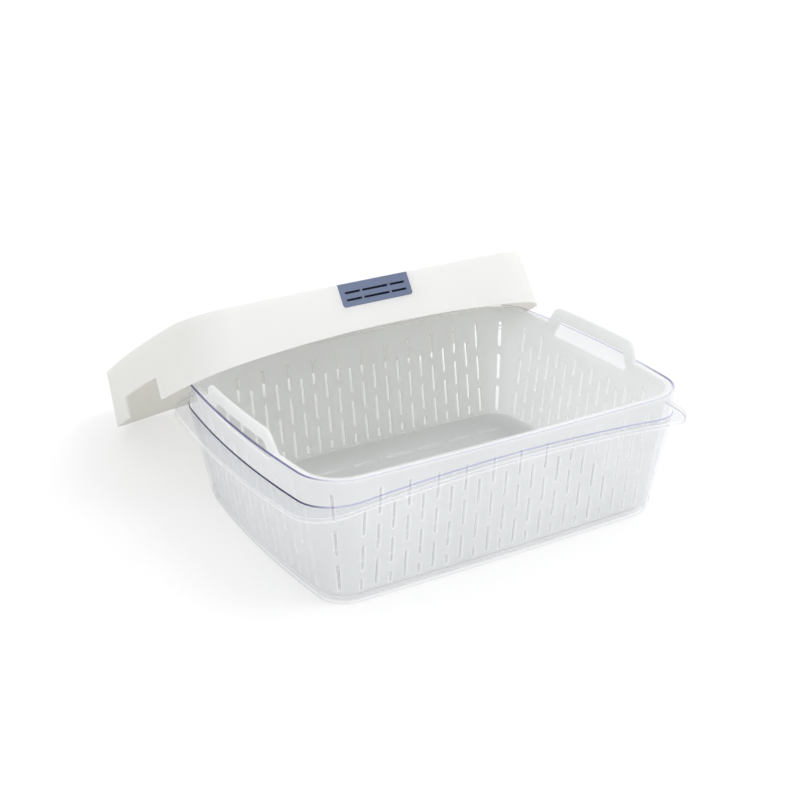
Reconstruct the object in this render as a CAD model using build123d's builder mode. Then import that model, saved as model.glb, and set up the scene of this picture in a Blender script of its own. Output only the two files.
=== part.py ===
from build123d import *

import math
import os

# Food storage container: a clear tub, a drain basket that stands in it, and a
# domed lid with a vent, taken off and leaning behind the tub. Millimetres, +Z up,
# origin at the centre of the tub's base, +X along the long side, -Y to the front.

# Tub: outline at the rim
rim_length = 330.0
rim_width = 252.0
rim_corner = 35.0
end_bow = 9.0
side_bow = 2.6
tub_height = 105.0
tub_wall = 2.0
tub_floor = 2.4
rim_round = 0.6

# Tub: wall, from the upright collar down to the foot
collar_depth = 28.0
collar_inset = 1.0
base_inset = 14.6
base_corner = 24.0
foot_height = 8.3
foot_step = 0.6
foot_round = 3.0
foot_width = 9.0
foot_hollow = 0.8

# Tub: flange round the collar, higher at the middle of the long sides
flange_drop_middle = 11.6
flange_drop_ends = 22.3
flange_reach_ends = 10.5
flange_reach_sides = 3.6
flange_corner = 33.0
flange_thickness = 1.8
lip_height = 5.7
lip_thickness = 1.6

# Basket
basket_clearance = 2.6
basket_rim_drop = 0.8
basket_draft_inset = 12.4
basket_base_corner = 22.0
basket_wall = 2.0
basket_floor = 2.2
basket_lift = 4.0
basket_base_round = 4.0
bead_reach = 1.3
bead_height = 3.0
basket_foot_diameter = 12.0
basket_foot_inset = 40.0
basket_seat_gap = 0.2

# Basket: drain slots in staggered columns
slot_width = 2.9
slot_length = 22.5
slot_web = 6.6
slot_column_pitch = 11.5
slot_top_drop = 12.4
slot_floor_gap = 0.8
side_columns = 22
end_columns = 16
floor_slot_length = 24.0
floor_slot_width = 3.0
floor_slot_pitch = 31.0
floor_row_pitch = 24.0
floor_columns = 8
floor_rows = 7

# Basket: loop handle that rises out of each end wall
handle_rise = 15.4
handle_foot_width = 119.0
handle_top_width = 101.0
handle_corner = 10.0
handle_flare = 2.6
handle_bar = 10.2
handle_leg = 8.0
handle_opening_drop = 9.6
handle_opening_corner = 4.0
handle_slot_web = 11.2
handle_thickness = 3.4
handle_round = 1.2

# Lid
lid_overhang_ends = 5.2
lid_overhang_sides = 3.6
lid_corner = 40.0
lid_top_corner = 38.0
lid_height = 49.2
lid_taper = 3.0
lid_wall = 2.2
lid_edge_round = 0.8
notch_width = 92.0
notch_height = 18.5
notch_flare = 2.0
notch_corner = 2.0

# Vent in the front of the lid's skirt
vent_width = 64.0
vent_height = 19.2
vent_wrap = 6.0
vent_corner = 2.5
vent_clearance = 0.2
vent_frame_margin = 2.0
vent_frame_thickness = 1.2
vent_slot_height = 1.8
vent_rows = 2
vent_row_drop = 7.8
vent_row_pitch = 6.0
vent_middle_slot = 23.4
vent_end_slot = 13.7
vent_bridge = 2.1
filter_inset = 2.0
filter_thickness = 1.0
filter_gap = 0.1

# Where the lid leans: on the floor behind the tub, its front above the opening
lean_angle = 29.8
lean_turn = 1.0
lean_gap = 0.4
lean_side_gap = 0.3
floor_gap = 0.2

half_length = rim_length / 2
half_width = rim_width / 2
shoulder = tub_height - collar_depth
flange_top_middle = tub_height - flange_drop_middle
flange_top_ends = tub_height - flange_drop_ends
arch_rise = flange_drop_ends - flange_drop_middle
arch_radius = (half_length**2 + arch_rise**2) / (2 * arch_rise)
through = 2 * rim_length


def bowed_outline(to_end, to_side, corner):
    """Rounded rectangle with outward bowed sides, from its half length and half width."""
    corner_x = to_end - end_bow * (to_side / half_width) ** 2
    corner_y = to_side - side_bow * (to_end / half_length) ** 2
    with BuildSketch(mode=Mode.PRIVATE) as shape:
        with BuildLine():
            ThreePointArc((-corner_x, -corner_y), (0, -to_side), (corner_x, -corner_y))
            ThreePointArc((corner_x, -corner_y), (to_end, 0), (corner_x, corner_y))
            ThreePointArc((corner_x, corner_y), (0, to_side), (-corner_x, corner_y))
            ThreePointArc((-corner_x, corner_y), (-to_end, 0), (-corner_x, -corner_y))
        make_face()
        fillet(shape.vertices(), corner)
    return shape.sketch


def arch(reach, middle, drop):
    """Arc in the open sketch that is highest at the middle and falls by a drop at both ends."""
    return ThreePointArc((-reach, middle - drop), (0, middle), (reach, middle - drop))


def arched_band(top_middle, height):
    """Band in the XZ plane that follows the flange's arch, from its middle downwards."""
    reach = half_length + 2 * flange_reach_ends
    end_drop = arch_radius - math.sqrt(arch_radius**2 - reach**2)
    with BuildSketch(mode=Mode.PRIVATE) as band:
        with BuildLine():
            top = arch(reach, top_middle, end_drop)
            low = arch(reach, top_middle - height, end_drop)
            Line(top @ 0, low @ 0)
            Line(top @ 1, low @ 1)
        make_face()
    return band.sketch


# Tub


def tub_section(height, inward=0.0):
    """Outline of the tub's outer wall at a height, moved inwards."""
    if height < shoulder:
        share = height / shoulder
        inset = base_inset + (collar_inset - base_inset) * share
        corner = base_corner + (rim_corner - base_corner) * share
    else:
        inset = collar_inset * (tub_height - height) / collar_depth
        corner = rim_corner
    inset += inward
    return bowed_outline(half_length - inset, half_width - inset, corner - inward)


def flange_outline(inward=0.0):
    """Outline of the flange's outer edge, moved inwards."""
    to_end = half_length + flange_reach_ends - inward
    to_side = half_width + flange_reach_sides - inward
    return bowed_outline(to_end, to_side, flange_corner - inward)


with BuildPart() as under_shelf:
    with BuildSketch():
        add(flange_outline(lip_thickness))
    extrude(amount=tub_height)
    with BuildSketch(Plane.XZ):
        add(arched_band(flange_top_middle - flange_thickness, lip_height))
    extrude(amount=through, both=True, mode=Mode.INTERSECT)

with BuildPart() as flange:
    with BuildSketch():
        add(flange_outline())
    extrude(amount=tub_height)
    with BuildSketch(Plane.XZ):
        add(arched_band(flange_top_middle, lip_height))
    extrude(amount=through, both=True, mode=Mode.INTERSECT)
    add(under_shelf.part, mode=Mode.SUBTRACT)

with BuildPart() as tub:
    for low, high, inward in (
        (0, foot_height, foot_step),
        (foot_height, shoulder, 0),
        (shoulder, tub_height, 0),
    ):
        with BuildSketch(Plane.XY.offset(low)):
            add(tub_section(low, inward))
        with BuildSketch(Plane.XY.offset(high)):
            add(tub_section(high, inward))
        loft(ruled=True)
    fillet(tub.edges().group_by(Axis.Z)[0], foot_round)
    add(flange.part)
    for low, high in ((tub_floor, shoulder), (shoulder, tub_height)):
        with BuildSketch(Plane.XY.offset(low)):
            add(tub_section(low, tub_wall))
        with BuildSketch(Plane.XY.offset(high)):
            add(tub_section(high, tub_wall))
        loft(ruled=True, mode=Mode.SUBTRACT)
    fillet(tub.edges().filter_by_position(Axis.Z, tub_floor - 0.01, tub_floor + 0.01), foot_round)
    fillet(tub.edges().group_by(Axis.Z)[-1], rim_round)
    with BuildSketch():
        add(tub_section(0, foot_step + foot_width))
    extrude(amount=foot_hollow, mode=Mode.SUBTRACT)

# Basket

basket_to_end = half_length - tub_wall - basket_clearance
basket_to_side = half_width - tub_wall - basket_clearance
basket_corner = rim_corner - tub_wall - basket_clearance
basket_top = tub_height - basket_rim_drop
basket_bottom = tub_floor + basket_lift
basket_floor_top = basket_bottom + basket_floor
handle_top = basket_top + handle_rise
opening_bottom = basket_top - handle_opening_drop
slot_pitch = slot_length + slot_web
slot_top = basket_top - slot_top_drop
slot_lowest = basket_floor_top + slot_floor_gap


def basket_section(height, inward=0.0):
    """Outline of the basket's outer wall at a height, moved inwards."""
    share = (basket_top - height) / (basket_top - basket_bottom)
    inset = basket_draft_inset * share + inward
    corner = basket_corner + (basket_base_corner - basket_corner) * share - inward
    return bowed_outline(basket_to_end - inset, basket_to_side - inset, corner)


def slot_column(across, staggered, ceiling=slot_top):
    """One column of upright slots in the open sketch, cut short at its two ends."""
    top = slot_top - (slot_pitch / 2 if staggered else 0)
    while top - slot_lowest > 2 * slot_width:
        low = max(top - slot_length, slot_lowest)
        high = min(top, ceiling)
        with Locations((across, (low + high) / 2)):
            SlotOverall(high - low, slot_width, rotation=90)
        top -= slot_pitch


def column_places(columns):
    """Distance of each slot column from the middle of its wall."""
    return [(column - (columns - 1) / 2) * slot_column_pitch for column in range(columns)]


with BuildPart() as handles:
    for inward, mode in ((0, Mode.ADD), (handle_thickness, Mode.SUBTRACT)):
        with BuildSketch(Plane.XY.offset(basket_top - bead_height)):
            add(basket_section(basket_top, inward))
        with BuildSketch(Plane.XY.offset(handle_top)):
            add(basket_section(basket_top, inward - handle_flare))
        loft(ruled=True, mode=mode)
    with BuildSketch(Plane.YZ):
        with BuildLine():
            FilletPolyline(
                (-handle_foot_width / 2, basket_top - bead_height),
                (-handle_top_width / 2, handle_top),
                (handle_top_width / 2, handle_top),
                (handle_foot_width / 2, basket_top - bead_height),
                radius=handle_corner,
                close=False,
            )
            Line(
                (handle_foot_width / 2, basket_top - bead_height),
                (-handle_foot_width / 2, basket_top - bead_height),
            )
        make_face()
    extrude(amount=through, both=True, mode=Mode.INTERSECT)
    fillet(handles.edges().group_by(Axis.Z)[-1], handle_round)

with BuildPart() as basket:
    with BuildSketch(Plane.XY.offset(basket_bottom)):
        add(basket_section(basket_bottom))
    with BuildSketch(Plane.XY.offset(basket_top)):
        add(basket_section(basket_top))
    loft(ruled=True)
    fillet(basket.edges().group_by(Axis.Z)[0], basket_base_round)
    with BuildSketch(Plane.XY.offset(basket_top - bead_height)):
        add(basket_section(basket_top, -bead_reach))
    extrude(amount=bead_height)
    with BuildSketch(Plane.XY.offset(basket_floor_top)):
        add(basket_section(basket_floor_top, basket_wall))
    with BuildSketch(Plane.XY.offset(basket_top)):
        add(basket_section(basket_top, basket_wall))
    loft(ruled=True, mode=Mode.SUBTRACT)
    add(handles.part)
    with BuildSketch(Plane.YZ) as opening:
        half_top = handle_top_width / 2 - handle_leg
        half_bottom = handle_foot_width / 2 - handle_leg
        Polygon(
            (-half_bottom, opening_bottom),
            (half_bottom, opening_bottom),
            (half_top, handle_top - handle_bar),
            (-half_top, handle_top - handle_bar),
            align=None,
        )
        fillet(opening.vertices(), handle_opening_corner)
    extrude(amount=through, both=True, mode=Mode.SUBTRACT)
    with BuildSketch(Plane.XZ):
        for column, across in enumerate(column_places(side_columns)):
            slot_column(across, column % 2 == 0)
    extrude(amount=through, both=True, mode=Mode.SUBTRACT)
    with BuildSketch(Plane.YZ):
        for column, across in enumerate(column_places(end_columns)):
            beside_opening = abs(across) > handle_foot_width / 2
            ceiling = slot_top if beside_opening else opening_bottom - handle_slot_web
            slot_column(across, column % 2 == 0, ceiling)
    extrude(amount=through, both=True, mode=Mode.SUBTRACT)
    for side in (-1, 1):
        for end in (-1, 1):
            corner_centre = (
                end * (basket_to_end - end_bow - basket_corner),
                side * (basket_to_side - side_bow - basket_corner),
                0,
            )
            with BuildSketch(Plane(corner_centre, x_dir=(-side, end, 0), z_dir=(end, side, 0))):
                slot_column(0, False)
            extrude(amount=2 * basket_corner, mode=Mode.SUBTRACT)
    with BuildSketch(Plane.XY.offset(basket_bottom)):
        with GridLocations(floor_slot_pitch, floor_row_pitch, floor_columns, floor_rows):
            SlotOverall(floor_slot_length, floor_slot_width)
    extrude(amount=basket_floor, mode=Mode.SUBTRACT)
    with BuildSketch(Plane.XY.offset(tub_floor + basket_seat_gap)):
        with GridLocations(
            2 * (basket_to_end - basket_foot_inset), 2 * (basket_to_side - basket_foot_inset), 2, 2
        ):
            Circle(basket_foot_diameter / 2)
    extrude(amount=basket_lift - basket_seat_gap + basket_floor / 2)

# Lid, in its own frame: X along the long side, Z out through the top

lid_to_end = half_length + lid_overhang_ends
lid_to_side = half_width + lid_overhang_sides
lean = math.radians(lean_angle)
turn = math.radians(lean_turn)


def resting_depth():
    """How far below the lid's centre its arched back edge reaches when it leans."""
    straight_along = lid_to_end - lid_corner
    straight_back = lid_to_side - lid_corner
    corner_along = straight_along - end_bow * (straight_back / half_width) ** 2
    corner_back = straight_back - side_bow * (straight_along / half_length) ** 2
    depths = []
    for degrees in range(0, 91, 3):
        along = corner_along + lid_corner * math.sin(math.radians(degrees))
        back = corner_back + lid_corner * math.cos(math.radians(degrees))
        fall = arch_radius - math.sqrt(arch_radius**2 - along**2)
        rise = max(arch_rise - fall, 0)
        depths.append(back * math.sin(lean) - rise * math.cos(lean))
    return max(depths)


skirt_height = flange_top_ends + lean_gap
lid_z = floor_gap + resting_depth()
lid_y = half_width + (skirt_height - lid_z) / math.tan(lean)
rim_crossing = half_width - (tub_height - skirt_height) / math.tan(lean)
crossing_reach = (lid_y - rim_crossing) / math.cos(lean)
rim_there = half_length - end_bow * (rim_crossing / half_width) ** 2
lid_there = lid_to_end - lid_wall - end_bow * (crossing_reach / half_width) ** 2
lid_x = rim_there + lean_side_gap - lid_there - crossing_reach * math.sin(turn)
lid_base = Plane(
    origin=(lid_x, lid_y, lid_z),
    x_dir=(math.cos(turn), math.sin(turn), 0),
    z_dir=(-math.sin(turn) * math.sin(lean), math.cos(turn) * math.sin(lean), math.cos(lean)),
)
lid_front = Plane(origin=lid_base.origin, x_dir=lid_base.x_dir, z_dir=-lid_base.y_dir)
lid_side = Plane(origin=lid_base.origin, x_dir=lid_base.y_dir, z_dir=lid_base.x_dir)
lid_axis = Axis(lid_base.origin, lid_base.z_dir)
vent_bottom = lid_height - vent_height


def lid_section(height, inward=0.0):
    """Outline of the lid's outer skirt at a height, moved inwards."""
    share = height / lid_height
    inset = lid_taper * share + inward
    corner = lid_corner + (lid_top_corner - lid_corner) * share - inward
    return bowed_outline(lid_to_end - inset, lid_to_side - inset, corner)


def lid_block(inward):
    """Solid of the lid's outer shape, moved inwards on every side but the open one."""
    top = lid_height - inward
    with BuildPart(mode=Mode.PRIVATE) as block:
        with BuildSketch(lid_base):
            add(lid_section(0, inward))
        with BuildSketch(lid_base.offset(top)):
            add(lid_section(top, inward))
        loft(ruled=True)
    return block.part


def vent_patch(margin, depth):
    """Block round the vent's place in the skirt, larger by a margin, cut for depth inwards."""
    with BuildPart(mode=Mode.PRIVATE) as patch:
        with BuildSketch(lid_front.offset(lid_to_side - depth)) as face:
            with Locations((0, vent_bottom - margin)):
                Rectangle(vent_width + 2 * margin, lid_height, align=(Align.CENTER, Align.MIN))
            fillet(face.vertices().group_by(Axis.Y)[0], vent_corner)
        extrude(amount=2 * depth)
    return patch.part


frame_back = lid_wall + vent_clearance + vent_frame_thickness
vent_depth = lid_taper + vent_wrap

with BuildPart() as lid:
    add(lid_block(0))
    fillet(lid.edges().group_by(lid_axis)[-1], lid_edge_round)
    add(lid_block(lid_wall), mode=Mode.SUBTRACT)
    with BuildSketch(lid_front):
        with BuildLine():
            low_edge = arch(half_length, arch_rise, arch_rise)
            Line(low_edge @ 0, low_edge @ 1)
        make_face()
    extrude(amount=through, both=True, mode=Mode.SUBTRACT)
    with BuildSketch(lid_side) as notch:
        Polygon(
            (-notch_width / 2, 0),
            (notch_width / 2, 0),
            (notch_width / 2 - notch_flare, notch_height),
            (notch_flare - notch_width / 2, notch_height),
            align=None,
        )
        fillet(notch.vertices().group_by(Axis.Y)[-1], notch_corner)
    extrude(amount=through, both=True, mode=Mode.SUBTRACT)
    add(vent_patch(vent_clearance, vent_depth), mode=Mode.SUBTRACT)

with BuildPart() as vent_frame:
    add(lid_block(lid_wall + vent_clearance))
    add(vent_patch(vent_frame_margin, vent_depth + vent_frame_margin), mode=Mode.INTERSECT)

with BuildPart() as vent_grille:
    add(lid_block(0))
    fillet(vent_grille.edges().group_by(lid_axis)[-1], lid_edge_round)
    add(vent_patch(0, vent_depth), mode=Mode.INTERSECT)
    add(vent_frame.part)
    add(lid_block(frame_back), mode=Mode.SUBTRACT)
    with BuildSketch(lid_front.offset(lid_to_side)):
        for row in range(vent_rows):
            row_height = lid_height - vent_row_drop - row * vent_row_pitch
            with Locations((0, row_height)):
                Rectangle(vent_middle_slot, vent_slot_height)
            from_middle = vent_middle_slot / 2 + vent_bridge + vent_end_slot / 2
            with Locations((-from_middle, row_height), (from_middle, row_height)):
                Rectangle(vent_end_slot, vent_slot_height)
    extrude(amount=-(lid_taper + 2 * frame_back), mode=Mode.SUBTRACT)

with BuildPart() as vent_filter:
    add(lid_block(frame_back + filter_gap))
    add(vent_patch(-filter_inset, lid_taper + frame_back + filter_thickness), mode=Mode.INTERSECT)
    add(lid_block(frame_back + filter_gap + filter_thickness), mode=Mode.SUBTRACT)

os.makedirs("parts", exist_ok=True)

tub.part.label = "tub"
basket.part.label = "basket"
lid.part.label = "lid"
vent_grille.part.label = "vent_grille"
vent_filter.part.label = "vent_filter"

export_step(tub.part, "parts/tub.step")
export_step(basket.part, "parts/basket.step")
export_step(lid.part, "parts/lid.step")
export_step(vent_grille.part, "parts/vent_grille.step")
export_step(vent_filter.part, "parts/vent_filter.step")
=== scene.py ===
import math
import bpy
import numpy as np
from mathutils import Matrix, Vector


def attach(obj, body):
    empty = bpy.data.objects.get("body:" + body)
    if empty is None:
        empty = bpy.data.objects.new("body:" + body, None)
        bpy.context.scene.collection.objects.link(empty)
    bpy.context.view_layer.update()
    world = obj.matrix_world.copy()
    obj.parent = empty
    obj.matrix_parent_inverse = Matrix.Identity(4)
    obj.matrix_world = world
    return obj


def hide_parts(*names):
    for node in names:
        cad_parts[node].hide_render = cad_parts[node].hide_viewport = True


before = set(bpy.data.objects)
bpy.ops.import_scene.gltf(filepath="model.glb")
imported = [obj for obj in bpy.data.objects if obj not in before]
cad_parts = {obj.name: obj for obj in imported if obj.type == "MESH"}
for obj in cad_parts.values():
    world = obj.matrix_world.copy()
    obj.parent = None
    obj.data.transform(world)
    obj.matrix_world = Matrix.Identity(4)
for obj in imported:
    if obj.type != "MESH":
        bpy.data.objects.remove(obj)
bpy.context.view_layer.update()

# Camera: the photograph's viewpoint
camera_place = Vector((-0.5295, -0.8685, 0.5204))
camera_turn = 30.155
camera_height_angle = 22.957
camera_roll = 0.775
focal_pixels = 1419.8
picture_pixels = 800
centre_pixel_y = 398.5
sensor_width = 36.0
far_clip = 50.0

# Light and floor
sky_left = 0.8
sky_right = 1.2
key_strength = 0.66
key_softness = 24.0
key_direction = (0.42, -0.33, 0.84)
floor_size = 14.0
floor_colour = (0.93, 0.93, 0.93, 1.0)
floor_paleness = 0.5

# Tub, in metres: the same sizes as the solid's
rim_to_end = 0.165
rim_to_side = 0.126
rim_corner = 0.035
end_bow = 0.009
side_bow = 0.0026
tub_height = 0.105
tub_wall = 0.0020
tub_floor = 0.0024
collar_depth = 0.028
collar_inset = 0.0010
base_inset = 0.0146
base_corner = 0.024
foot_height = 0.0083
foot_step = 0.0006
foot_step_top_share = 0.6
foot_round = 0.0030
foot_width = 0.0090
foot_hollow = 0.0008
# Height of the foot's lowest band, which takes a painted contact shadow
sole_height = 0.0012
flange_top_middle = tub_height - 0.0116
flange_top_ends = tub_height - 0.0223
flange_reach_ends = 0.01047
flange_reach_sides = 0.0036
flange_corner = 0.033
flange_thickness = 0.0018
flange_slope = 0.0020
lip_height = 0.0057
lip_thickness = 0.0016
edge_round = 0.0005
root_width = 0.0007
root_height = 0.0008
root_slope = 0.15

# Points along an outline's quarter (end, corner, side), and rings up the tub
outline_steps = (14, 16, 18)
foot_rings = 7
edge_rings = 5
outer_wall_shares = np.linspace(0.15, 1.0, 8)
flange_first_share = 0.06
flange_last_share = 0.92
collar_shares = np.linspace(0.2, 1.0, 5)
inner_wall_shares = np.linspace(0.1, 1.0, 10)
inner_corner_rings = 6

# Where the painted shade and highlights on the tub's edges fade along its ends, in metres
painted_edge_fade_start = 0.144
painted_edge_fade_end = 0.161
painted_edge_right_start = -0.045
painted_edge_right_end = -0.1
painted_edge_right_least = 0.3

# Painted highlight along the basket's edges: width in metres, and how far the faces that look inwards share
# it
painted_highlight_width = 0.0012
edge_samples = 6
edge_agreement_none = 0.995
edge_agreement_full = 0.93
painted_highlight_white = (0.99, 0.99, 0.99, 1.0)
end_wall_start = 0.143
facing_inwards = -0.6
facing_outwards = 0.3
inside_painted_highlight_share = 0.12

# Surface detail: noise in cells per metre, depth of relief in metres
noise_low = 0.3
noise_high = 0.7
noise_roughness = 0.55
cloud_detail = 3
sheen_detail = 4
relief_detail = 2
grain_depth = 0.00008
moulded_cloud = 14
moulded_sheen = 60
moulded_relief = 0.12
moulded_smoothest = 0.05
moulded_roughest = 0.06
moulded_index = 1.48
clear_cloud = 18
clear_cloud_detail = 2
clear_sheen = 70
clear_roughness = (0.06, 0.11)
clear_ripple = 24
clear_relief = 0.05
clear_index = 1.5
ripple_depth = 0.0004
paler_share = 1.06
facing_blend = 0.3
frosted_cloud = 9
frosted_sheen = 45
frosted_roughness = (0.34, 0.46)
frosted_grain = 900
frosted_relief = 0.15

shoulder = tub_height - collar_depth
arch_rise = flange_top_middle - flange_top_ends
arch_radius = (rim_to_end**2 + arch_rise**2) / (2 * arch_rise)


def quarter_outline(to_end, to_side, corner):
    """First quarter of a bowed rounded rectangle, from the middle of the end to the middle of the side."""
    corner_x = to_end - end_bow * (to_side / rim_to_side) ** 2
    corner_y = to_side - side_bow * (to_end / rim_to_end) ** 2
    end_sag = to_end - corner_x
    side_sag = to_side - corner_y
    end_radius = (corner_y**2 + end_sag**2) / (2 * end_sag)
    side_radius = (corner_x**2 + side_sag**2) / (2 * side_sag)
    end_centre = np.array([to_end - end_radius, 0.0])
    side_centre = np.array([0.0, to_side - side_radius])
    span = side_centre - end_centre
    apart = np.linalg.norm(span)
    near, far = end_radius - corner, side_radius - corner
    along = (apart**2 + near**2 - far**2) / (2 * apart)
    across = math.sqrt(near**2 - along**2)
    direction = span / apart
    corner_centre = end_centre + along * direction + across * np.array([-direction[1], direction[0]])
    to_end_tangent = math.atan2(*(corner_centre - end_centre)[::-1])
    to_side_tangent = math.atan2(*(corner_centre - side_centre)[::-1])
    end_steps, corner_steps, side_steps = outline_steps

    def arc(centre, radius, angles):
        return [centre + radius * np.array([math.cos(angle), math.sin(angle)]) for angle in angles]

    end_angles = np.linspace(0, to_end_tangent, end_steps, endpoint=False)
    corner_angles = np.linspace(to_end_tangent, to_side_tangent, corner_steps, endpoint=False)
    side_angles = np.linspace(to_side_tangent, math.pi / 2, side_steps + 1)
    return np.array(
        arc(end_centre, end_radius, end_angles)
        + arc(corner_centre, corner, corner_angles)
        + arc(side_centre, side_radius, side_angles)
    )


def bowed_ring(to_end, to_side, corner):
    """Closed ring of points round a bowed rounded rectangle, anticlockwise from the +X end."""
    first = quarter_outline(to_end, to_side, corner)
    second = (first * [-1, 1])[::-1][1:]
    half = np.vstack([first, second])
    other = -half[1:-1]
    return np.vstack([half, other])


def arch_fall(x):
    """How far the flange lies below its middle at a distance along the tub."""
    return arch_radius - np.sqrt(arch_radius**2 - np.square(x))


def level_ring(outline, height):
    """Ring of points at one height."""
    return np.column_stack([outline, np.full(len(outline), height)])


def arched_ring(outline, height):
    """Ring of points that follows the flange's arch, with the height given at the middle."""
    return np.column_stack([outline, height - arch_fall(outline[:, 0])])


def placed(name, data):
    """New object in the scene, from a mesh, a lamp or a camera."""
    thing = bpy.data.objects.new(name, data)
    bpy.context.scene.collection.objects.link(thing)
    return thing


def swept_mesh(name, rings, finishes):
    """Closed mesh through rings, each with the finish of the band above it, its two ends filled flat."""
    count = len(rings[0][0])
    vertices = np.vstack([points for points, finish in rings])
    faces = []
    kinds = []
    for ring in range(len(rings) - 1):
        base = ring * count
        for point in range(count):
            follow = (point + 1) % count
            faces.append((base + point, base + follow, base + count + follow, base + count + point))
            kinds.append(finishes.index(rings[ring][1]))
    faces.append(tuple(reversed(range(count))))
    faces.append(tuple(range(len(vertices) - count, len(vertices))))
    mesh = bpy.data.meshes.new(name)
    mesh.from_pydata(vertices.tolist(), [], faces)
    mesh.polygons.foreach_set("material_index", kinds + [0, 0])
    mesh.shade_smooth()
    return placed(name, mesh)


# Tub


def tub_outline(height, inward=0.0):
    """Outline of the tub's outer wall at a height, moved inwards."""
    if height < shoulder:
        share = height / shoulder
        inset = base_inset + (collar_inset - base_inset) * share
        corner = base_corner + (rim_corner - base_corner) * share
    else:
        inset = collar_inset * (tub_height - height) / collar_depth
        corner = rim_corner
    inset += inward
    return bowed_ring(rim_to_end - inset, rim_to_side - inset, corner - inward)


def flange_outline(inward=0.0):
    """Outline of the flange's outer edge, moved inwards."""
    to_end = rim_to_end + flange_reach_ends - inward
    to_side = rim_to_side + flange_reach_sides - inward
    return bowed_ring(to_end, to_side, flange_corner - inward)


def rounded_turn(steps=edge_rings):
    """Cosine and sine of even steps through a quarter turn."""
    return [(math.cos(a), math.sin(a)) for a in np.linspace(0, math.pi / 2, steps)]


def tub_rings():
    """Rings of the tub's surface, from under its floor, round the outside and down the inside."""
    rings = []

    def ring(outline, height, finish="clear"):
        rings.append((level_ring(outline, height), finish))

    def level(height, inward=0.0, finish="clear"):
        ring(tub_outline(height, inward), height, finish)

    def arched(outline, height, finish="clear"):
        rings.append((arched_ring(outline, height), finish))

    # Under the floor and round the foot
    foot_inside = foot_step + foot_width
    ring(tub_outline(0, foot_inside + edge_round), foot_hollow)
    ring(tub_outline(0, foot_inside), foot_hollow)
    ring(tub_outline(0, foot_inside), edge_round)
    ring(tub_outline(0, foot_inside - edge_round), 0, "foot")
    # The foot's lowest band, the sole, takes a painted contact shadow
    for cosine, sine in rounded_turn(foot_rings):
        height = foot_round * (1 - cosine)
        level(height, foot_step + foot_round * (1 - sine), "sole" if height < sole_height else "foot")
    # The foot's top edge takes the lip's painted highlight
    level(foot_height - edge_round, foot_step, "lip")
    level(foot_height, foot_step * foot_step_top_share, "lip")
    level(foot_height + edge_round)

    # Up the wall
    for share in outer_wall_shares:
        level(foot_height + (shoulder - edge_round - foot_height) * share)

    # Out under the flange, round its lip and back over it
    wall = tub_outline(shoulder)
    lip_inside = flange_outline(lip_thickness)
    underside = flange_top_middle - flange_thickness
    for share, drop in ((0.0, edge_round), (flange_first_share, 0.0), (flange_last_share, 0.0)):
        arched(wall + (lip_inside - wall) * share, underside - drop - flange_slope * share, "flange")
    arched(lip_inside, underside - flange_slope - edge_round)
    lip_bottom = flange_top_middle - lip_height
    # The lip's bands take a painted highlight, greyer on the right end
    arched(lip_inside, lip_bottom + edge_round, "lip")
    for cosine, sine in rounded_turn():
        outline = flange_outline(lip_thickness - edge_round * (1 - cosine))
        arched(outline, lip_bottom + edge_round * (1 - sine), "lip")
    for cosine, sine in rounded_turn():
        outline = flange_outline(edge_round * (1 - sine))
        arched(outline, lip_bottom + edge_round * (1 - cosine), "lip" if sine < 1 else "clear")
    lip_top = flange_top_middle - flange_slope
    for cosine, sine in rounded_turn():
        outline = flange_outline(edge_round * (1 - cosine))
        arched(outline, lip_top - edge_round * (1 - sine), "lip" if sine < 1 else "flange")

    # Up the collar and over the rim
    middle_height = shoulder + collar_depth / 2
    # The root band, where the collar meets the flange, takes a painted dark violet crease shade
    arched(tub_outline(middle_height, -root_width), flange_top_middle - flange_slope * root_slope, "root")
    arched(tub_outline(middle_height), flange_top_middle + root_height)
    # The rim's bands take a painted violet shade, darkest at the ends
    for cosine, sine in rounded_turn():
        ring(tub_outline(tub_height, edge_round * (1 - cosine)), tub_height - edge_round * (1 - sine), "rim")
    for cosine, sine in rounded_turn():
        outline = tub_outline(tub_height, tub_wall - edge_round * (1 - sine))
        ring(outline, tub_height - edge_round * (1 - cosine), "rim" if sine < 1 else "clear")

    # Down the inside to the floor
    for share in collar_shares:
        level(tub_height - collar_depth * share, tub_wall)
    low = tub_floor + foot_round
    for share in inner_wall_shares:
        level(shoulder + (low - shoulder) * share, tub_wall)
    for cosine, sine in rounded_turn(inner_corner_rings)[1:]:
        level(tub_floor + foot_round * (1 - sine), tub_wall + foot_round * (1 - cosine))
    return rings


# Materials

# Two inputs and the output of the Mix node, by the kind of what it mixes
mix_sockets = {"FLOAT": (2, 3, 0), "RGBA": (6, 7, 2)}


def linear(red, green, blue):
    """Colour for a shader, from the values that a picture shows."""
    values = []
    for value in (red, green, blue):
        share = value / 255
        values.append(share / 12.92 if share <= 0.04045 else ((share + 0.055) / 1.055) ** 2.4)
    return (*values, 1.0)


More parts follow.
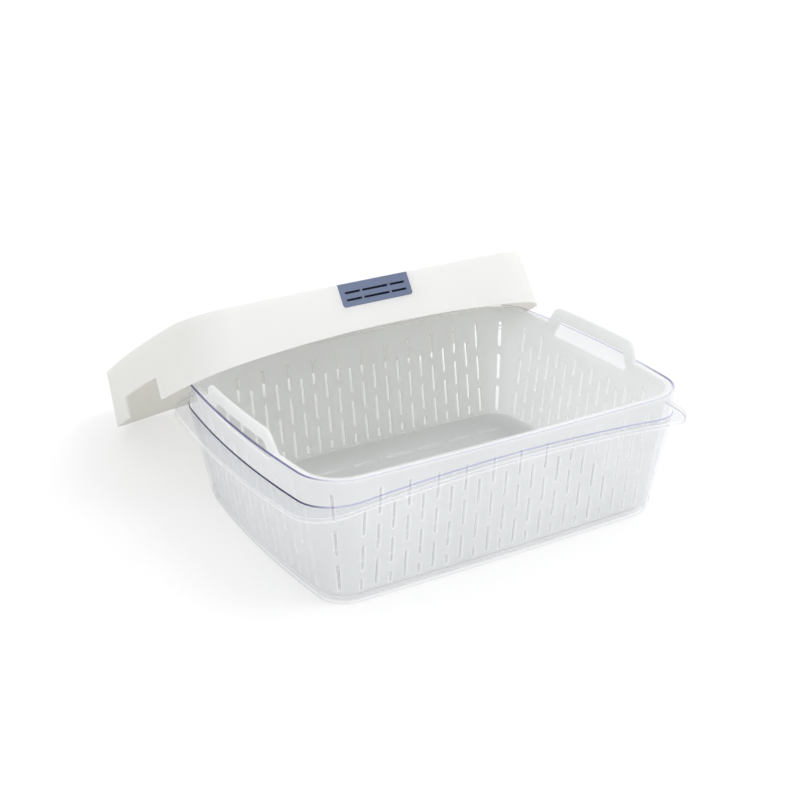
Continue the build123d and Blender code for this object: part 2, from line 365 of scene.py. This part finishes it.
class Nodes:
    """Node tree of a material or the world, with short calls to add and join nodes."""

    def __init__(self, holder):
        holder.use_nodes = True
        self.tree = holder.node_tree

    def feed(self, target, value):
        """A constant, or another node's output, into an input."""
        if isinstance(value, bpy.types.NodeSocket):
            self.tree.links.new(value, target)
        else:
            target.default_value = value

    def add(self, kind, **values):
        """New node, with its properties or inputs set by name."""
        node = self.tree.nodes.new(kind)
        for name, value in values.items():
            if hasattr(node, name):
                setattr(node, name, value)
            else:
                self.feed(node.inputs[name], value)
        return node

    def reckon(self, operation, *values):
        """Result of a sum on one or two values."""
        node = self.add("ShaderNodeMath", operation=operation)
        for target, value in zip(node.inputs, values):
            self.feed(target, value)
        return node.outputs["Value"]

    def spread(self, source, start, end, low=0.0, high=1.0, smooth=False):
        """Source between start and end, as a value from low to high."""
        node = self.add("ShaderNodeMapRange", interpolation_type="SMOOTHSTEP" if smooth else "LINEAR")
        limits = {"Value": source, "From Min": start, "From Max": end, "To Min": low, "To Max": high}
        for name, value in limits.items():
            self.feed(node.inputs[name], value)
        return node.outputs["Result"]

    def mix(self, kind, share, first, second):
        """Value or colour between two."""
        node = self.add("ShaderNodeMix", data_type=kind, Factor=share)
        first_socket, second_socket, result_socket = mix_sockets[kind]
        self.feed(node.inputs[first_socket], first)
        self.feed(node.inputs[second_socket], second)
        return node.outputs[result_socket]

    def axes(self, coordinates):
        """X, Y and Z of one of the kinds of coordinates."""
        place = self.add("ShaderNodeTexCoord")
        return self.add("ShaderNodeSeparateXYZ", Vector=place.outputs[coordinates]).outputs


class Surface(Nodes):
    """New material's nodes, round its own shader."""

    def __init__(self, name):
        self.material = bpy.data.materials.new(name)
        super().__init__(self.material)
        self.shader = self.tree.nodes["Principled BSDF"]
        self.output = self.tree.nodes["Material Output"]

    def settle(self, **values):
        """Values on the shader's own sockets."""
        for name, value in values.items():
            self.feed(self.shader.inputs[name.replace("_", " ")], value)

    def noise(self, scale, detail=sheen_detail):
        """Noise over the object's own coordinates, in cells per metre."""
        place = self.add("ShaderNodeTexCoord").outputs["Object"]
        values = {"Vector": place, "Scale": scale, "Detail": detail, "Roughness": noise_roughness}
        return self.add("ShaderNodeTexNoise", **values).outputs["Fac"]

    def patchy(self, scale, low, high):
        """Value that wanders between two limits over the surface."""
        return self.spread(self.noise(scale), noise_low, noise_high, low, high)

    def clouded(self, scale, detail, first, second):
        """Colour that wanders between two over the surface."""
        ramp = self.add("ShaderNodeValToRGB", Fac=self.noise(scale, detail))
        stops = ((noise_low, first), (noise_high, second))
        for element, (position, colour) in zip(ramp.color_ramp.elements, stops):
            element.position = position
            element.color = colour
        return ramp.outputs["Color"]

    def bump(self, scale, strength, distance):
        """Fine relief from a noise."""
        height = self.noise(scale, relief_detail)
        relief = self.add("ShaderNodeBump", Strength=strength, Distance=distance, Height=height)
        self.settle(Normal=relief.outputs["Normal"])

    def cover(self, share, other):
        """Share of another shader over the surface's own."""
        mix = self.add("ShaderNodeMixShader", Fac=share)
        self.feed(mix.inputs[1], self.shader.outputs["BSDF"])
        self.feed(mix.inputs[2], other)
        self.feed(self.output.inputs["Surface"], mix.outputs["Shader"])

    def let_through(self, share, colour):
        """Part of the light passes through the wall."""
        self.cover(share, self.add("ShaderNodeBsdfTranslucent", Color=colour).outputs["BSDF"])


def moulded_plastic(name, light, dark, roughness, grain, glow_share=0.0, glow_colour=None):
    """Moulded plastic with a fine satin grain and faint flow marks, and some light let through."""
    surface = Surface(name)
    surface.settle(
        Base_Color=surface.clouded(moulded_cloud, cloud_detail, dark, light),
        Roughness=surface.patchy(moulded_sheen, roughness - moulded_smoothest, roughness + moulded_roughest),
        IOR=moulded_index,
    )
    surface.bump(grain, moulded_relief, grain_depth)
    if glow_share:
        surface.let_through(glow_share, glow_colour)
    return surface.material


def clear_plastic(name, colour, face_on, slanted, middle=None, left_share=1.0):
    """Thin clear plastic, more see-through face on than at a slant.

    Middle gives another share of cover and colour between the ends, and left_share how far the left end
    keeps the first ones. These colours are painted shade and painted highlights on the tub's edges, set by
    place along the tub. Light passes freely, so the tub throws no shadow of its own.
    """
    surface = Surface(name)
    facing = surface.add("ShaderNodeLayerWeight", Blend=facing_blend)
    cover = surface.spread(facing.outputs["Facing"], 0.0, 1.0, face_on, slanted)
    paler = tuple(min(channel * paler_share, 1.0) for channel in colour)
    tone = surface.clouded(clear_cloud, clear_cloud_detail, colour, paler)
    if middle is not None:
        # Painted shade and highlights: the given colour and cover near the ends, the middle's elsewhere
        place = surface.axes("Object")
        painted_near_end = surface.spread(surface.reckon("ABSOLUTE", place["X"]), painted_edge_fade_start, painted_edge_fade_end, smooth=True)
        on_left = surface.reckon("LESS_THAN", place["X"], 0.0)
        painted_right_share = surface.spread(
            place["Y"], painted_edge_right_start, painted_edge_right_end, painted_edge_right_least, smooth=True
        )
        painted_share_kept = surface.spread(on_left, 0.0, 1.0, painted_right_share, left_share)
        painted_end_share = surface.reckon("MULTIPLY", painted_near_end, painted_share_kept)
        middle_share, middle_colour = middle
        cover = surface.reckon("MULTIPLY", cover, surface.spread(painted_end_share, 0.0, 1.0, middle_share))
        tone = surface.mix("RGBA", painted_end_share, middle_colour, tone)
    paths = surface.add("ShaderNodeLightPath").outputs
    passing = surface.reckon("MAXIMUM", paths["Is Shadow Ray"], paths["Is Diffuse Ray"])
    surface.settle(
        Alpha=surface.spread(passing, 0.0, 1.0, cover, 0.0),
        Base_Color=tone,
        Roughness=surface.patchy(clear_sheen, *clear_roughness),
        IOR=clear_index,
    )
    surface.bump(clear_ripple, clear_relief, ripple_depth)
    return surface.material


def frosted_plastic(name, light, dark, glow_share):
    """Milky plastic that lets some light through, with a painted highlight along its moulded edges, weaker
    on faces that look inwards, and a fine grain.
    """
    surface = Surface(name)
    # Painted highlight: the bevel's normal against the face's marks the edges, faces looking inwards keep a
    # share
    rounded = surface.add("ShaderNodeBevel", samples=edge_samples, Radius=painted_highlight_width)
    flat = surface.add("ShaderNodeNewGeometry")
    agreement = surface.add("ShaderNodeVectorMath", operation="DOT_PRODUCT")
    surface.feed(agreement.inputs[0], rounded.outputs["Normal"])
    surface.feed(agreement.inputs[1], flat.outputs["Normal"])
    edge = surface.spread(agreement.outputs["Value"], edge_agreement_none, edge_agreement_full)
    place = surface.axes("Object")
    turned = surface.axes("Normal")
    outward = {
        axis: surface.reckon("MULTIPLY", surface.reckon("SIGN", place[axis]), turned[axis]) for axis in "XY"
    }
    in_end_wall = surface.reckon("GREATER_THAN", surface.reckon("ABSOLUTE", place["X"]), end_wall_start)
    away = surface.mix("FLOAT", in_end_wall, outward["Y"], outward["X"])
    painted_highlight_side_share = surface.spread(away, facing_inwards, facing_outwards, inside_painted_highlight_share)
    painted_edge_highlight = surface.reckon("MULTIPLY", edge, painted_highlight_side_share)
    body = surface.clouded(frosted_cloud, cloud_detail, dark, light)
    tone = surface.mix("RGBA", painted_edge_highlight, body, painted_highlight_white)
    surface.settle(Base_Color=tone, Roughness=surface.patchy(frosted_sheen, *frosted_roughness))
    surface.bump(frosted_grain, frosted_relief, grain_depth)
    surface.let_through(surface.spread(painted_edge_highlight, 0.0, 1.0, glow_share, 0.0), tone)
    return surface.material


def dress(piece, *materials):
    """Materials on a piece, in the order of its faces' numbers, which an empty list's clear would reset."""
    if piece.data.materials:
        piece.data.materials.clear()
    for material in materials:
        piece.data.materials.append(material)


# Pieces

# Clear and flange bands are the plastic; rim, root, lip and sole carry painted shade, highlight and shadow
tub_plastics_and_painted_edges = ("clear", "flange", "rim", "root", "lip", "foot", "sole")
tub_piece = swept_mesh("tub_shell", tub_rings(), tub_plastics_and_painted_edges)
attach(tub_piece, "tub")
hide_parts("tub")
dress(
    tub_piece,
    clear_plastic("tub_clear", linear(220, 222, 229), 0.08, 0.36),
    clear_plastic("tub_flange", linear(196, 199, 206), 0.12, 0.3),
    # Rim: painted violet shade, darkest at the ends
    clear_plastic("tub_rim_painted_shade", linear(66, 60, 132), 0.8, 0.95, (0.25, linear(150, 150, 206))),
    # Root: painted shade in the crease between collar and flange
    clear_plastic("tub_root_painted_shade", linear(32, 28, 84), 0.95, 1.0, (0.5, linear(138, 138, 196))),
    # Lip: painted highlight, greyer on the right end
    clear_plastic("tub_lip_painted_highlight", linear(182, 182, 198), 0.45, 0.9, (0.9, linear(246, 246, 249)), 0.0),
    clear_plastic("tub_foot", linear(236, 237, 241), 0.08, 0.4),
    # Sole: painted contact shadow, darker at the ends
    clear_plastic("tub_sole_painted_shadow", linear(120, 120, 130), 0.5, 0.7, (0.5, linear(196, 197, 204))),
)

white = moulded_plastic(
    "lid_white", linear(249, 251, 254), linear(246, 248, 251), 0.36, 1100, 0.42, linear(254, 251, 243)
)
blue_grey = moulded_plastic("vent_blue_grey", linear(100, 113, 143), linear(95, 107, 136), 0.4, 1300)
# The filter's dark colour is partly its own and partly painted shade of the hollow behind the vent's slots
dark = moulded_plastic("filter_dark_and_painted_shade", linear(40, 50, 70), linear(26, 33, 50), 0.85, 1500)
frosted = frosted_plastic("frosted", linear(247, 248, 248), linear(243, 244, 244), 0.68)
finish_of = {"basket": frosted, "lid": white, "vent_grille": blue_grey, "vent_filter": dark}
for node_name, finish in finish_of.items():
    dress(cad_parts[node_name], finish)

# Floor, light and camera

half = floor_size / 2
floor_mesh = bpy.data.meshes.new("floor")
floor_mesh.from_pydata(
    [(-half, -half, 0), (half, -half, 0), (half, half, 0), (-half, half, 0)], [], [(0, 1, 2, 3)]
)
floor = placed("floor", floor_mesh)
floor_surface = Surface("floor_white")
floor_surface.settle(Base_Color=floor_colour, Roughness=0.9, Specular_IOR_Level=0.1)
camera_ray = floor_surface.add("ShaderNodeLightPath").outputs["Is Camera Ray"]
floor_surface.cover(
    floor_surface.reckon("MULTIPLY", camera_ray, floor_paleness),
    floor_surface.add("ShaderNodeEmission").outputs["Emission"],
)
dress(floor, floor_surface.material)

sun = bpy.data.lights.new("key", "SUN")
sun.energy = key_strength
sun.angle = math.radians(key_softness)
placed("key", sun).rotation_euler = (-Vector(key_direction)).to_track_quat("-Z", "Y").to_euler()

world = bpy.data.worlds.new("studio")
bpy.context.scene.world = world
sky = Nodes(world)
background = sky.tree.nodes["Background"]
background.inputs["Color"].default_value = (1.0, 1.0, 1.0, 1.0)
rays = sky.add("ShaderNodeLightPath").outputs
shown = sky.reckon("MAXIMUM", rays["Is Camera Ray"], rays["Is Transmission Ray"])
shown = sky.reckon("MAXIMUM", shown, rays["Is Glossy Ray"])
from_side = sky.spread(sky.axes("Generated")["X"], -1.0, 1.0, sky_left, sky_right)
sky.feed(background.inputs["Strength"], sky.spread(shown, 0.0, 1.0, from_side))

bpy.context.scene.view_settings.view_transform = "Standard"

camera_data = bpy.data.cameras.new("camera")
camera_data.sensor_width = sensor_width
camera_data.lens = sensor_width * focal_pixels / picture_pixels
camera_data.shift_y = (centre_pixel_y - picture_pixels / 2) / picture_pixels
camera_data.clip_end = far_clip
camera = placed("camera", camera_data)
pan = Matrix.Rotation(-math.radians(camera_turn), 4, "Z")
tip = Matrix.Rotation(math.radians(90 - camera_height_angle), 4, "X")
roll = Matrix.Rotation(-math.radians(camera_roll), 4, "Z")
camera.matrix_world = Matrix.Translation(camera_place) @ pan @ tip @ roll
bpy.context.scene.camera = camera
